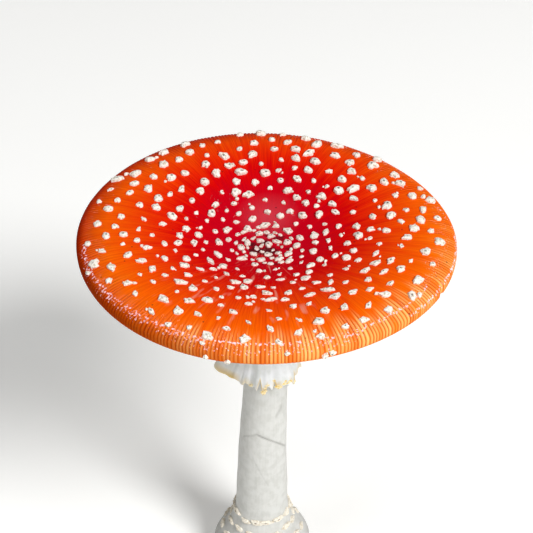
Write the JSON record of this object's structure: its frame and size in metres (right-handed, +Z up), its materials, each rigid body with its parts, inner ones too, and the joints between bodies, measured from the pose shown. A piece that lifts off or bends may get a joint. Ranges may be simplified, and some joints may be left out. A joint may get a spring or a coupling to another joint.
{
  "type": "fly agaric mushroom",
  "caption": "Picked amanita mushroom: flat dished red cap with pale warts and a ribbed margin, white gills, a ragged hanging ring and a pale stem with a bulb cut flat to stand on.",
  "frame": {"origin": "centre of the flat cut face under the bulb, which the mushroom stands on", "axes": "+Z up the stem towards the cap, -Y towards the side that the picture shows, +X to its right"},
  "size_m": [0.1521, 0.149, 0.1925],
  "materials": {
    "cap_skin": "moist glossy skin, crimson in the dish and orange at the rim, with dry cream warts",
    "gill_flesh": "matt cream flesh",
    "ring_veil": "thin matt white veil with tan tufts at the hem",
    "stem_flesh": "silky white flesh, faintly mottled"
  },
  "bodies": {
    "root": {"cap": "cap_skin", "gills": "gill_flesh", "ring": "ring_veil", "stem": "stem_flesh"}
  },
  "joints": []
}
